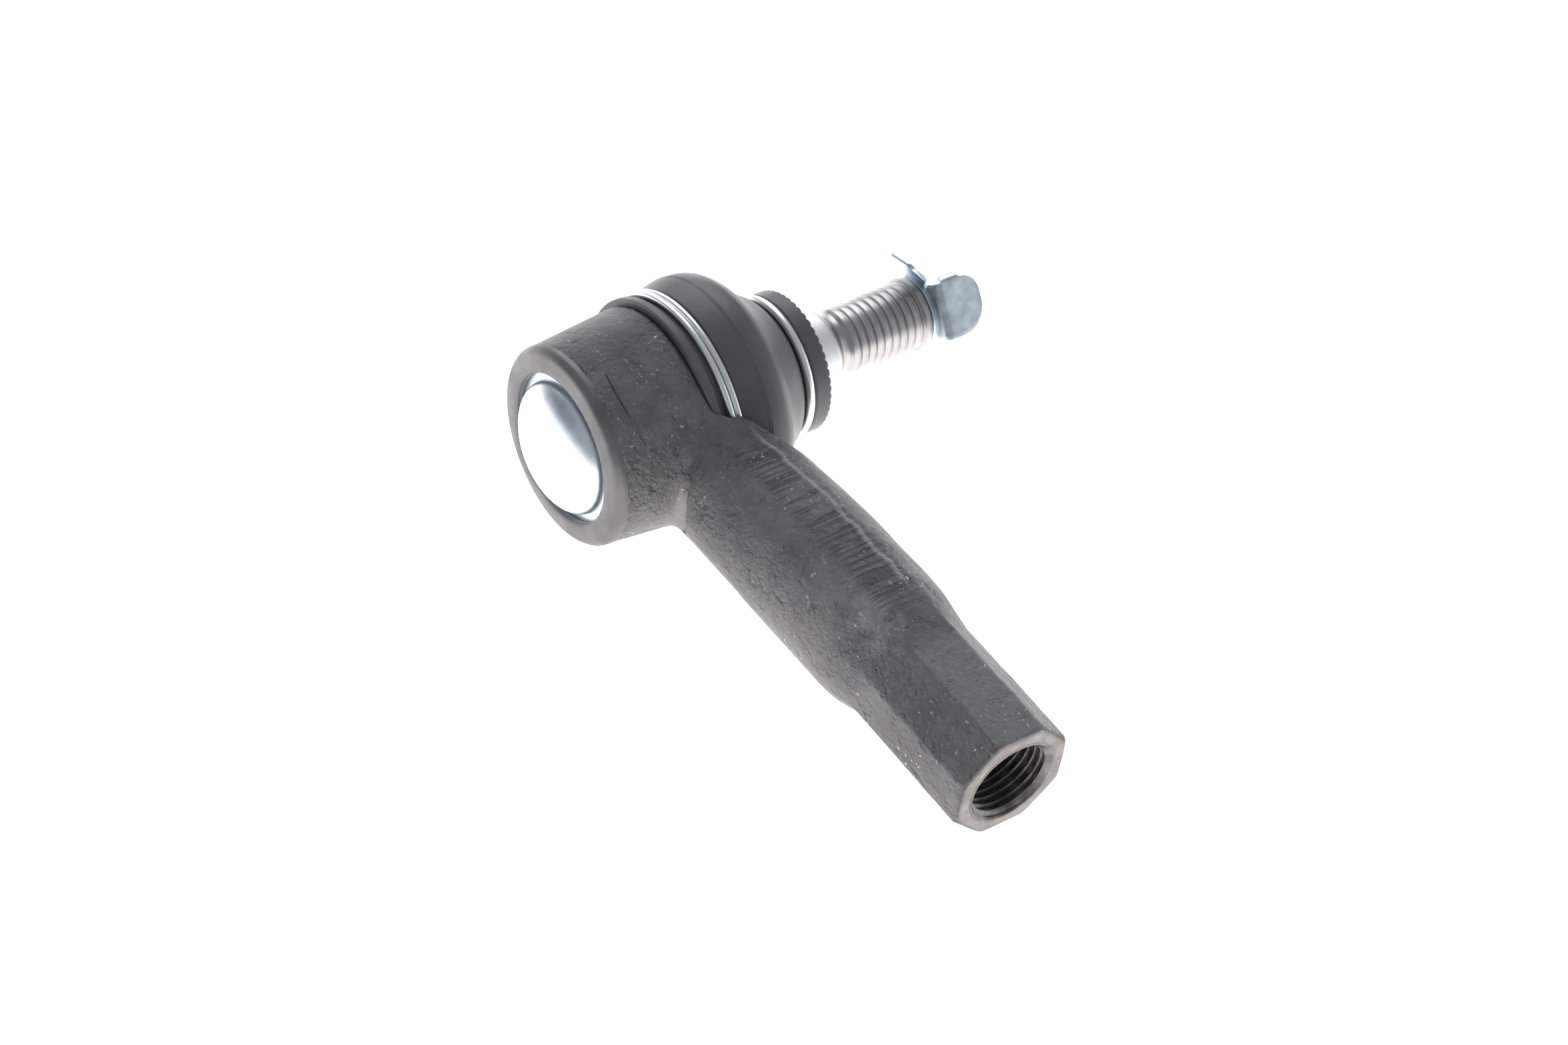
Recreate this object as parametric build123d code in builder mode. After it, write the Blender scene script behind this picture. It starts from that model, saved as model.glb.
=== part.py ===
"""Outer tie rod end: a forged body with a threaded rod socket, and a sealed ball joint with a grooved clamp stud.

The origin is the centre of the ball. +X runs along the rod to its threaded mouth, +Y runs along the
stud to its tip, and +Z is up. Millimetres.
"""

import os
from math import cos, radians, sin, sqrt

from build123d import *

# Driving dimensions -------------------------------------------------------------------------------

# Ball joint
BALL_R = 12.5
BALL_FIT = 0.05  # radial running clearance between the ball and its seats
BALL_FLAT_Y = -11.3  # flat on the pole of the ball
SEAT_R = 14.85
SEAT_SPLIT = 0.2  # half the gap between the two seats, which the spring takes up
REAR_SEAT_END_Y = 7.3
FRONT_SEAT_END_Y = -14.0
SEAT_PORT_R = 3.0

# Housing, turned about the Y axis
FRONT_Y = -19.5  # front face of the rolled lip
FRONT_ROUND = 3.2
HOUSING_FRONT_R = 18.6
HOUSING_REAR_R = 20.0
SHOULDER_Y = 0.4  # shoulder that the boot's wide end sits against
LIP_BORE_R = 13.9
LIP_THICKNESS = 1.5
SEAT_BORE_R = 14.9
SEAT_BORE_END_Y = 3.8
BOOT_GROOVE_R = 18.2
BOOT_GROOVE_END_Y = 6.6
BOOT_LAND_R = 18.8
HOUSING_TOP_Y = 8.6
SHOULDER_EDGE = 1.2
LAND_CHAMFER = 0.6
MOUTH_R = 10.9  # opening that the stud swings in

# Cover plate and spring
COVER_R = 15.6
COVER_THICKNESS = 1.5
COVER_DOME_R = 12.4
COVER_DOME_RISE = 5.4
COVER_WALL = 1.4
DOME_POINTS = [(0, 1.0), (0.5, 0.935), (0.8, 0.7), (0.95, 0.378), (1.0, 0)]  # share of the edge radius and of the rise
COVER_FIT = 0.02
SEAT_FIT = 0.05
SPRING_OUTER_R = 14.2
SPRING_INNER_R = 4.0
SPRING_THICKNESS = 0.8

# Rod
ROD_Y = 5.2  # the rod's axis lies this far from the ball centre, towards the stud's tip
ROD_END_X = 100.5
WRENCH_START_X = 60.0
WRENCH_FLATS = 22.0
WRENCH_SIDES = 8
WRENCH_CHAMFER = 1.0
POCKET_X = 16.0
POCKET_Z = -1.0
POCKET_R = 8.6
POCKET_FLOOR_Y = -6.9
BOOT_CLEAR_R = 23.4  # room that the forging leaves around the boot
CLEAR_CORNER = 1.2

# Socket for the inner tie rod, M16 x 1.5
THREAD_CREST_R = 7.19
THREAD_DEPTH = 40.0
DRILL_POINT = 4.0
MOUTH_CHAMFER_R = 8.25

# Stud
NECK_R = 5.9
NECK_END_Y = 18.0
COLLAR_R = 7.4
COLLAR_START_Y = 22.5
COLLAR_END_Y = 36.6
WAIST_R = 5.8
WAIST_Y = 38.9
SHANK_START_Y = 40.1
SHANK_R = 6.6
GROOVE_COUNT = 9
GROOVE_PITCH = 1.715
GROOVE_WIDTH = 0.8
GROOVE_DEPTH = 0.45
GROOVE_SLOPE = 0.15
LAND_R = 7.05
LAND_START_Y = 55.6
LAND_END_Y = 57.3
SPIGOT_R = 4.2
SPIGOT_END_Y = 60.0
WAIST_RISE = 0.1
SHANK_CHAMFER = 0.8
LAND_RISE = 0.3
COLLAR_ROUND = 1.4
COLLAR_DROP = 0.5
TIP_CHAMFER = 0.4

# Boot
BOOT_FIT = 0.06
BOOT_LIP_R = 21.2
WIRE_GROOVE_R = 20.2
SMALL_END_Y = 30.0
SMALL_END_R = 13.45
STUD_RING_GROOVE_R = 12.1

LIP_CHAMFER = 0.5
WIRE_ROOM = 0.1
COLLAR_ROOM = 0.35
BULGE_START_R = 20.9
BOOT_OUTSIDE = [(21.9, 11.6), (21.2, 15.0), (18.5, 18.2), (14.6, 22.9), (12.7, 24.2)]
BOOT_OUTSIDE_ENDS = [(0.3, 1), (-0.75, 0.66)]
BOOT_INSIDE = [(11.2, 22.6), (16.9, 17.2), (19.5, 14.3), (20.0, 11.4)]
BOOT_INSIDE_ENDS = [(0.6, -0.7), (-0.4, -1)]
BOOT_INSIDE_R = 19.3
BOOT_WALL_RISE = 1.2

# Wires
HOUSING_WIRE_R = 0.65
HOUSING_WIRE_PITCH = 1.34
HOUSING_WIRE_TURNS = 2
HOUSING_WIRE_START_Y = 2.95
STUD_WIRE_R = 0.85
STUD_WIRE_Y = 25.4

# Insert ring in the boot's small end, which turns on the stud's collar
INSERT_R = 9.4
INSERT_START_Y = 24.2
INSERT_END_Y = 29.4
INSERT_WALL = 1.0
INSERT_FIT = 0.06

# Stud end clip
CLIP_THICKNESS = 0.9
CLIP_CUP_R = 6.9
CLIP_CUP_HEIGHT = 1.8
EAR_ANGLE = 37.5
EAR_REACH = 9.2
EAR_WIDTH = 10.7
EAR_LENGTH = 8.9
FLANGE_LENGTH = 7.0
FLANGE_WIDTH = 1.6
FLANGE_TURN = 60.0
TONGUE_ANGLE = 105.0
TONGUE_WIDTH = 6.8
TONGUE_ROOT = 7.9
TONGUE_LENGTH = 5.4
TONGUE_DROP_ANGLE = 36.0

os.makedirs("parts", exist_ok=True)


def finish(part, name):
    """Names a finished piece and writes its STEP file."""
    part.label = name
    export_step(part, f"parts/{name}.step")


def radial_plane(angle):
    """The plane through the Y axis whose local x is radial, at this angle from +X, and whose local y is +Y."""
    a = radians(angle)
    return Plane(origin=(0, 0, 0), x_dir=(cos(a), 0, sin(a)), z_dir=(-sin(a), 0, cos(a)))


def ball_height(radius, at):
    """How far from the centre a sphere of this radius has narrowed to the radius `at`."""
    return sqrt(radius**2 - at**2)


# Forged body --------------------------------------------------------------------------------------

cover_front_y = FRONT_Y + LIP_THICKNESS
cover_back_y = cover_front_y + COVER_THICKNESS

# Rod sections: distance along X, centre height along Y, radius, and half the height over the trimmed flash lands.
ROD_SECTIONS = [
    (4.0, 0.6, 10.6, 10.2),
    (16.0, 2.2, 11.6, 11.2),
    (27.0, 3.5, 12.4, 11.9),
    (42.0, 4.4, 12.95, 12.4),
    (64.0, 4.8, 13.05, 12.5),
    (67.5, 5.0, 12.5, 12.0),
    (72.5, ROD_Y, 10.8, 10.4),
]

with BuildPart() as forged_body:
    for x, y, r, half_height in ROD_SECTIONS:
        with BuildSketch(Plane.YZ.offset(x)):
            with Locations((y, 0)):
                Circle(r)
                Rectangle(2 * r, 2 * half_height, mode=Mode.INTERSECT)
    loft()
    with BuildSketch(Plane.YZ.offset(WRENCH_START_X)):
        with Locations((ROD_Y, 0)):
            RegularPolygon(WRENCH_FLATS / 2, WRENCH_SIDES, major_radius=False, rotation=180 / WRENCH_SIDES)
    extrude(amount=ROD_END_X - WRENCH_START_X)
    # Shallow pocket in the rod's front, beside the housing
    with Locations(Location((POCKET_X, FRONT_Y, POCKET_Z), (90, 0, 0))):
        Cylinder(POCKET_R, 2 * (POCKET_FLOOR_Y - FRONT_Y), mode=Mode.SUBTRACT)
    # Housing
    with BuildSketch(Plane.XY):
        with BuildLine():
            Polyline(
                (0, FRONT_Y),
                (HOUSING_FRONT_R - FRONT_ROUND, FRONT_Y),
            )
            RadiusArc(
                (HOUSING_FRONT_R - FRONT_ROUND, FRONT_Y),
                (HOUSING_FRONT_R, FRONT_Y + FRONT_ROUND),
                -FRONT_ROUND,
            )
            Polyline(
                (HOUSING_FRONT_R, FRONT_Y + FRONT_ROUND),
                (HOUSING_REAR_R, SHOULDER_Y - SHOULDER_EDGE),
                (HOUSING_REAR_R, SHOULDER_Y),
                (BOOT_GROOVE_R, SHOULDER_Y),
                (BOOT_GROOVE_R, BOOT_GROOVE_END_Y),
                (BOOT_LAND_R, BOOT_GROOVE_END_Y + LAND_CHAMFER),
                (BOOT_LAND_R, HOUSING_TOP_Y - LAND_CHAMFER),
                (BOOT_LAND_R - LAND_CHAMFER, HOUSING_TOP_Y),
                (0, HOUSING_TOP_Y),
                (0, FRONT_Y),
            )
        make_face()
    revolve(axis=Axis.Y)
    # Room around the boot's wide end
    with BuildSketch(Plane.XY):
        with BuildLine():
            Polyline(
                (BOOT_GROOVE_R, SHOULDER_Y),
                (BOOT_CLEAR_R - CLEAR_CORNER, SHOULDER_Y),
                (BOOT_CLEAR_R, SHOULDER_Y + CLEAR_CORNER),
                (BOOT_CLEAR_R, ROD_Y + 2 * SEAT_R),
                (0, ROD_Y + 2 * SEAT_R),
                (0, HOUSING_TOP_Y),
                (BOOT_LAND_R - LAND_CHAMFER, HOUSING_TOP_Y),
                (BOOT_LAND_R, HOUSING_TOP_Y - LAND_CHAMFER),
                (BOOT_LAND_R, BOOT_GROOVE_END_Y + LAND_CHAMFER),
                (BOOT_GROOVE_R, BOOT_GROOVE_END_Y),
                close=True,
            )
        make_face()
    revolve(axis=Axis.Y, mode=Mode.SUBTRACT)
    # Bore for the seats, groove for the cover plate under the rolled lip, and the mouth for the stud
    with BuildSketch(Plane.XY):
        with BuildLine():
            Polyline(
                (0, FRONT_Y),
                (LIP_BORE_R, FRONT_Y),
                (LIP_BORE_R, cover_front_y),
                (COVER_R, cover_front_y),
                (COVER_R, cover_back_y),
                (SEAT_BORE_R, cover_back_y),
                (SEAT_BORE_R, SEAT_BORE_END_Y),
                (MOUTH_R, REAR_SEAT_END_Y),
                (MOUTH_R, HOUSING_TOP_Y),
                (0, HOUSING_TOP_Y),
                close=True,
            )
        make_face()
    revolve(axis=Axis.Y, mode=Mode.SUBTRACT)
    # Threaded socket, with its drill point and mouth chamfer
    with BuildSketch(Plane.XY):
        with BuildLine():
            Polyline(
                (ROD_END_X, ROD_Y),
                (ROD_END_X, ROD_Y + MOUTH_CHAMFER_R),
                (ROD_END_X - (MOUTH_CHAMFER_R - THREAD_CREST_R), ROD_Y + THREAD_CREST_R),
                (ROD_END_X - THREAD_DEPTH, ROD_Y + THREAD_CREST_R),
                (ROD_END_X - THREAD_DEPTH - DRILL_POINT, ROD_Y),
                close=True,
            )
        make_face()
    revolve(axis=Axis((0, ROD_Y, 0), (1, 0, 0)), mode=Mode.SUBTRACT)
    end_edges = forged_body.faces().sort_by(Axis.X)[-1].outer_wire().edges()
    chamfer(end_edges, WRENCH_CHAMFER)
finish(forged_body.part, "forged_body")


# Cover plate --------------------------------------------------------------------------------------



def dome(edge_r, edge_y, rise):
    """The dome's outline from the axis to its edge, square to the axis at the crown and along it at the edge."""
    points = [(edge_r * out, edge_y - rise * up) for out, up in DOME_POINTS]
    return Spline(*points, tangents=[(1, 0), (0, 1)])


with BuildPart() as cover_plate:
    front_y = cover_front_y + COVER_FIT
    back_y = cover_back_y - COVER_FIT
    with BuildSketch(Plane.XY):
        with BuildLine():
            crown = dome(COVER_DOME_R, front_y, COVER_DOME_RISE)
            hollow = dome(COVER_DOME_R - COVER_WALL, back_y, COVER_DOME_RISE)
            Polyline(
                crown @ 1,
                (COVER_R - COVER_FIT, front_y),
                (COVER_R - COVER_FIT, back_y),
                hollow @ 1,
            )
            Line(hollow @ 0, crown @ 0)
        make_face()
    revolve(axis=Axis.Y)
finish(cover_plate.part, "cover_plate")


# Seats and spring ---------------------------------------------------------------------------------

socket_r = BALL_R + BALL_FIT

with BuildPart() as rear_ball_seat:
    with BuildSketch(Plane.XY):
        with BuildLine():
            lip_r = ball_height(socket_r, REAR_SEAT_END_Y)
            Line((ball_height(socket_r, SEAT_SPLIT), SEAT_SPLIT), (SEAT_R, SEAT_SPLIT))
            Polyline(
                (SEAT_R, SEAT_SPLIT),
                (SEAT_R, SEAT_BORE_END_Y - SEAT_FIT),
                (MOUTH_R + 2 * SEAT_FIT, REAR_SEAT_END_Y - 3 * SEAT_FIT),
                (lip_r, REAR_SEAT_END_Y),
            )
            CenterArc(
                (0, 0),
                socket_r,
                Vector(ball_height(socket_r, SEAT_SPLIT), SEAT_SPLIT).get_angle(Vector(1, 0)),
                Vector(lip_r, REAR_SEAT_END_Y).get_angle(Vector(1, 0))
                - Vector(ball_height(socket_r, SEAT_SPLIT), SEAT_SPLIT).get_angle(Vector(1, 0)),
            )
        make_face()
    revolve(axis=Axis.Y)
finish(rear_ball_seat.part, "rear_ball_seat")

with BuildPart() as front_ball_seat:
    with BuildSketch(Plane.XY):
        with Locations((SEAT_R / 2, (FRONT_SEAT_END_Y - SEAT_SPLIT) / 2)):
            Rectangle(SEAT_R, -SEAT_SPLIT - FRONT_SEAT_END_Y)
        Circle(socket_r, mode=Mode.SUBTRACT)
        with Locations((0, FRONT_SEAT_END_Y)):
            Rectangle(2 * SEAT_PORT_R, 2 * socket_r, mode=Mode.SUBTRACT)
    revolve(axis=Axis.Y)
finish(front_ball_seat.part, "front_ball_seat")

with BuildPart() as preload_spring:
    spring_front_y = cover_back_y + COVER_FIT
    spring_back_y = FRONT_SEAT_END_Y - COVER_FIT
    with BuildSketch(Plane.XY):
        with BuildLine():
            Polyline(
                (SPRING_OUTER_R, spring_front_y),
                (SPRING_OUTER_R, spring_front_y + SPRING_THICKNESS),
                (SPRING_INNER_R, spring_back_y),
                (SPRING_INNER_R, spring_back_y - SPRING_THICKNESS),
                close=True,
            )
        make_face()
    revolve(axis=Axis.Y)
finish(preload_spring.part, "preload_spring")


# Ball stud ----------------------------------------------------------------------------------------


def shank_outline():
    """Outline points of the grooved shank, from the waist to its end land."""
    points = [(WAIST_R + WAIST_RISE, SHANK_START_Y - SHANK_CHAMFER), (SHANK_R, SHANK_START_Y)]
    for i in range(GROOVE_COUNT):
        y = SHANK_START_Y + i * GROOVE_PITCH + GROOVE_PITCH - GROOVE_WIDTH
        points.append((SHANK_R, y))
        points.append((SHANK_R - GROOVE_DEPTH, y + GROOVE_SLOPE))
        points.append((SHANK_R - GROOVE_DEPTH, y + GROOVE_WIDTH - GROOVE_SLOPE))
        points.append((SHANK_R, y + GROOVE_WIDTH))
    points.append((SHANK_R, LAND_START_Y - LAND_RISE))
    return points


with BuildPart() as ball_stud:
    with BuildSketch(Plane.XY):
        with BuildLine():
            pole_r = ball_height(BALL_R, -BALL_FLAT_Y)
            neck_y = ball_height(BALL_R, NECK_R)
            Line((0, BALL_FLAT_Y), (pole_r, BALL_FLAT_Y))
            ThreePointArc((pole_r, BALL_FLAT_Y), (BALL_R, 0), (NECK_R, neck_y))
            Polyline(
                (NECK_R, neck_y),
                (NECK_R, NECK_END_Y),
                (COLLAR_R, COLLAR_START_Y),
                (COLLAR_R, COLLAR_END_Y - COLLAR_ROUND),
            )
            Spline(
                (COLLAR_R, COLLAR_END_Y - COLLAR_ROUND),
                (COLLAR_R - COLLAR_DROP, COLLAR_END_Y),
                (WAIST_R, WAIST_Y),
                tangents=[(0, 1), (0, 1)],
            )
            Polyline((WAIST_R, WAIST_Y), *shank_outline(), (LAND_R, LAND_START_Y))
            Polyline(
                (LAND_R, LAND_START_Y),
                (LAND_R, LAND_END_Y - TIP_CHAMFER),
                (LAND_R - TIP_CHAMFER, LAND_END_Y),
                (SPIGOT_R, LAND_END_Y),
                (SPIGOT_R, SPIGOT_END_Y - TIP_CHAMFER),
                (SPIGOT_R - TIP_CHAMFER, SPIGOT_END_Y),
                (0, SPIGOT_END_Y),
                (0, BALL_FLAT_Y),
            )
        make_face()
    revolve(axis=Axis.Y)
finish(ball_stud.part, "ball_stud")


# Stud end clip ------------------------------------------------------------------------------------

cup_top_y = LAND_END_Y + CLIP_CUP_HEIGHT
ear_out = radial_plane(EAR_ANGLE).x_dir
ear_side = Vector(-sin(radians(EAR_ANGLE)), 0, cos(radians(EAR_ANGLE)))
tongue_out = radial_plane(TONGUE_ANGLE).x_dir
tongue_side = Vector(-sin(radians(TONGUE_ANGLE)), 0, cos(radians(TONGUE_ANGLE)))

with BuildPart() as stud_clip:
    # Cup that fits over the spigot, its plate carried out to the ear and the tongue
    with BuildSketch(Plane.XZ.offset(-LAND_END_Y)):
        Circle(CLIP_CUP_R)
    extrude(amount=-CLIP_CUP_HEIGHT)
    with BuildSketch(Plane.XZ.offset(-(cup_top_y - CLIP_THICKNESS))):
        with Locations(Location((0, 0, 0), (0, 0, EAR_ANGLE))):
            with Locations((EAR_REACH / 2, 0)):
                Rectangle(EAR_REACH, EAR_WIDTH)
        with Locations(Location((0, 0, 0), (0, 0, TONGUE_ANGLE))):
            with Locations((TONGUE_ROOT / 2, 0)):
                Rectangle(TONGUE_ROOT, TONGUE_WIDTH)
    extrude(amount=-CLIP_THICKNESS)
    # Ear: a tab with a round end, bent up from the plate
    ear_start_y = cup_top_y - CLIP_THICKNESS
    ear_face = Plane(origin=ear_out * (EAR_REACH - CLIP_THICKNESS), x_dir=ear_side, z_dir=ear_out)
    square_length = EAR_LENGTH - EAR_WIDTH / 2
    with BuildSketch(ear_face):
        with Locations((0, -(ear_start_y + square_length / 2))):
            Rectangle(EAR_WIDTH, square_length)
        with Locations((0, -(ear_start_y + square_length))):
            Circle(EAR_WIDTH / 2)
    extrude(amount=CLIP_THICKNESS)
    # Flange folded back from the ear's upper edge
    flange_turn = radians(FLANGE_TURN)
    flange_out = ear_side * cos(flange_turn) - ear_out * sin(flange_turn)
    half_sheet = CLIP_THICKNESS / 2
    flange_origin = ear_out * (EAR_REACH - half_sheet) + ear_side * (EAR_WIDTH / 2 - half_sheet)
    flange_plane = Plane(
        origin=flange_origin + Vector(0, ear_start_y, 0),
        x_dir=flange_out,
        z_dir=flange_out.cross(Vector(0, 1, 0)),
    )
    with BuildSketch(flange_plane):
        with Locations((FLANGE_WIDTH / 2, FLANGE_LENGTH / 2)):
            Rectangle(FLANGE_WIDTH, FLANGE_LENGTH)
    extrude(amount=CLIP_THICKNESS / 2, both=True)
    # Tongue, bent back towards the boot
    drop = radians(TONGUE_DROP_ANGLE)
    tongue_dir = tongue_out * cos(drop) - Vector(0, 1, 0) * sin(drop)
    tongue_plane = Plane(
        origin=tongue_out * TONGUE_ROOT + Vector(0, cup_top_y - CLIP_THICKNESS / 2, 0),
        x_dir=tongue_side,
        z_dir=tongue_side.cross(tongue_dir),
    )
    with BuildSketch(tongue_plane):
        with Locations((0, TONGUE_LENGTH / 2 - CLIP_THICKNESS / 4)):
            Rectangle(TONGUE_WIDTH, TONGUE_LENGTH + CLIP_THICKNESS / 2)
    extrude(amount=CLIP_THICKNESS / 2, both=True)
    # Bore for the spigot
    with BuildSketch(Plane.XZ.offset(-LAND_END_Y)):
        Circle(SPIGOT_R)
    extrude(amount=-CLIP_CUP_HEIGHT, mode=Mode.SUBTRACT)
finish(stud_clip.part, "stud_clip")


# Dust boot ----------------------------------------------------------------------------------------

with BuildPart() as dust_boot:
    groove_start_y = HOUSING_WIRE_START_Y - HOUSING_WIRE_R - WIRE_ROOM
    wire_end_y = HOUSING_WIRE_START_Y + HOUSING_WIRE_PITCH * HOUSING_WIRE_TURNS
    groove_end_y = wire_end_y + HOUSING_WIRE_R + WIRE_ROOM
    with BuildSketch(Plane.XY):
        with BuildLine():
            Polyline(
                (BOOT_GROOVE_R + BOOT_FIT, SHOULDER_Y + BOOT_FIT),
                (BOOT_LIP_R, SHOULDER_Y + BOOT_FIT),
                (BOOT_LIP_R, groove_start_y),
                (WIRE_GROOVE_R, groove_start_y),
                (WIRE_GROOVE_R, groove_end_y),
                (BULGE_START_R, groove_end_y),
            )
            Spline((BULGE_START_R, groove_end_y), *BOOT_OUTSIDE, tangents=BOOT_OUTSIDE_ENDS)
            Polyline(
                BOOT_OUTSIDE[-1],
                (STUD_RING_GROOVE_R, STUD_WIRE_Y - STUD_WIRE_R - WIRE_ROOM),
                (STUD_RING_GROOVE_R, STUD_WIRE_Y + STUD_WIRE_R + WIRE_ROOM),
                (SMALL_END_R, STUD_WIRE_Y + STUD_WIRE_R + 3 * WIRE_ROOM),
                (SMALL_END_R, SMALL_END_Y - LIP_CHAMFER),
                (SMALL_END_R - LIP_CHAMFER, SMALL_END_Y),
                (COLLAR_R + COLLAR_ROOM, SMALL_END_Y),
                (COLLAR_R + COLLAR_ROOM, INSERT_END_Y + BOOT_FIT),
                (INSERT_R + BOOT_FIT, INSERT_END_Y + BOOT_FIT),
                (INSERT_R + BOOT_FIT, INSERT_START_Y - LIP_CHAMFER),
                BOOT_INSIDE[0],
            )
            Spline(*BOOT_INSIDE, (BOOT_INSIDE_R, groove_end_y + BOOT_WALL_RISE), tangents=BOOT_INSIDE_ENDS)
            Polyline(
                (BOOT_INSIDE_R, groove_end_y + BOOT_WALL_RISE),
                (BOOT_GROOVE_R + BOOT_FIT, BOOT_GROOVE_END_Y - LIP_CHAMFER),
                (BOOT_GROOVE_R + BOOT_FIT, SHOULDER_Y + BOOT_FIT),
            )
        make_face()
    revolve(axis=Axis.Y)
finish(dust_boot.part, "dust_boot")

with BuildPart() as boot_insert_ring:
    with BuildSketch(Plane.XY):
        with BuildLine():
            Polyline(
                (COLLAR_R + INSERT_FIT, INSERT_START_Y),
                (COLLAR_R + INSERT_FIT + INSERT_WALL, INSERT_START_Y),
                (COLLAR_R + INSERT_FIT + INSERT_WALL, INSERT_END_Y - INSERT_WALL),
                (INSERT_R, INSERT_END_Y - INSERT_WALL),
                (INSERT_R, INSERT_END_Y),
                (COLLAR_R + INSERT_FIT, INSERT_END_Y),
                close=True,
            )
        make_face()
    revolve(axis=Axis.Y)
finish(boot_insert_ring.part, "boot_insert_ring")


# Wire rings ---------------------------------------------------------------------------------------

with BuildPart() as housing_wire_ring:
    coil_r = WIRE_GROOVE_R + HOUSING_WIRE_R + COVER_FIT
    with BuildLine() as coil:
        Helix(
            pitch=HOUSING_WIRE_PITCH,
            height=HOUSING_WIRE_PITCH * HOUSING_WIRE_TURNS,
            radius=coil_r,
            center=(0, HOUSING_WIRE_START_Y, 0),
            direction=(0, 1, 0),
        )
    with BuildSketch(Plane(origin=coil.line @ 0, z_dir=-(coil.line % 0))):
        Circle(HOUSING_WIRE_R)
    sweep(path=coil.line, is_frenet=True)
finish(housing_wire_ring.part, "housing_wire_ring")

with BuildPart() as stud_wire_ring:
    with BuildSketch(Plane.XY):
        with Locations((STUD_RING_GROOVE_R + STUD_WIRE_R + COVER_FIT, STUD_WIRE_Y)):
            Circle(STUD_WIRE_R)
    revolve(axis=Axis.Y)
finish(stud_wire_ring.part, "stud_wire_ring")
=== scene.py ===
import math

import bmesh
import bpy
import numpy as np
from mathutils import Matrix, Vector


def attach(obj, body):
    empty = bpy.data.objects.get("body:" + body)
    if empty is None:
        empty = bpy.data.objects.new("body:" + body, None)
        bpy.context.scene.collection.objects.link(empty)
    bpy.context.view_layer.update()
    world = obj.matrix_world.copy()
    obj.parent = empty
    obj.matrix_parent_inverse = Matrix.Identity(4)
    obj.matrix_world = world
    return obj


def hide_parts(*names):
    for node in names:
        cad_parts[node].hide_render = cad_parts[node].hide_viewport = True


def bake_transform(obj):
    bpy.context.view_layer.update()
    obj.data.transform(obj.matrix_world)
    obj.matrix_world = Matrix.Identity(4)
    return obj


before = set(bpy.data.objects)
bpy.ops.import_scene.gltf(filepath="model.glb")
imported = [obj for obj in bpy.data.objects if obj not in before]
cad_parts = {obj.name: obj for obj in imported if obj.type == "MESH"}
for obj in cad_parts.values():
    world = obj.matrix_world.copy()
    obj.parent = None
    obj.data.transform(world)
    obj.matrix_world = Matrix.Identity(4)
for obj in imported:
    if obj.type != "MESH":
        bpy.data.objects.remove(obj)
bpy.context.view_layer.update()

MM = 0.001

# Sizes in millimetres, in the CAD's frame
FRONT_Y = -19.5
HOUSING_FRONT_R = 18.6
HOUSING_REAR_R = 20.0
NOSE_END_Y = -17.1
POCKET_X, POCKET_Z, POCKET_R, POCKET_FLOOR_Y = 16.0, -1.0, 8.6, -6.9
SHOULDER_Y = 0.4
ROD_Y = 5.2
ROD_END_X = 100.5
GRID_STEP = 0.38
SHARP = 32.0  # degrees between two faces at which their edge is shaded as sharp


# Helpers ------------------------------------------------------------------------------------------------------------


def link(name, mesh):
    obj = bpy.data.objects.new(name, mesh)
    bpy.context.scene.collection.objects.link(obj)
    return obj


def make_mesh(name, verts, faces, sharp=SHARP):
    """A mesh object from points in millimetres."""
    mesh = bpy.data.meshes.new(name)
    mesh.from_pydata([tuple(v) for v in np.asarray(verts, float) * MM], [], faces)
    mesh.validate()
    mesh.shade_smooth()
    mesh.set_sharp_from_angle(angle=math.radians(sharp))
    mesh.update()
    return link(name, mesh)


def corner(points, closed=True, steps=5):
    """Rounds each point (a, b, radius) of an outline with an arc."""
    n = len(points)
    out = []
    for i, p in enumerate(points):
        r = p[2] if len(p) > 2 else 0
        here = np.array(p[:2], float)
        if r <= 0 or (not closed and i in (0, n - 1)):
            out.append(tuple(here))
            continue
        before = np.array(points[i - 1][:2], float) - here
        after = np.array(points[(i + 1) % n][:2], float) - here
        la, lb = np.linalg.norm(before), np.linalg.norm(after)
        ua, ub = before / la, after / lb
        half = math.acos(max(-1, min(1, float(ua @ ub)))) / 2
        reach = min(r / math.tan(half), la * 0.49, lb * 0.49)
        radius = reach * math.tan(half)
        bis = (ua + ub) / np.linalg.norm(ua + ub)
        centre = here + bis * radius / math.sin(half)
        a, b = here + ua * reach - centre, here + ub * reach - centre
        sweep = math.atan2(a[0] * b[1] - a[1] * b[0], float(a @ b))
        for k in range(steps + 1):
            t = sweep * k / steps
            out.append((
                centre[0] + a[0] * math.cos(t) - a[1] * math.sin(t),
                centre[1] + a[0] * math.sin(t) + a[1] * math.cos(t),
            ))
    return out


def catmull(points, steps=8):
    """A smooth curve through points."""
    p = np.array([points[0]] + list(points) + [points[-1]], float)
    out = []
    for i in range(1, len(p) - 2):
        for k in range(steps):
            t = k / steps
            a, b, c, d = p[i - 1], p[i], p[i + 1], p[i + 2]
            out.append(tuple(0.5 * (2 * b + (c - a) * t + (2 * a - 5 * b + 4 * c - d) * t**2
                                    + (3 * b - a - 3 * c + d) * t**3)))
    out.append(tuple(p[-2]))
    return out


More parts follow.
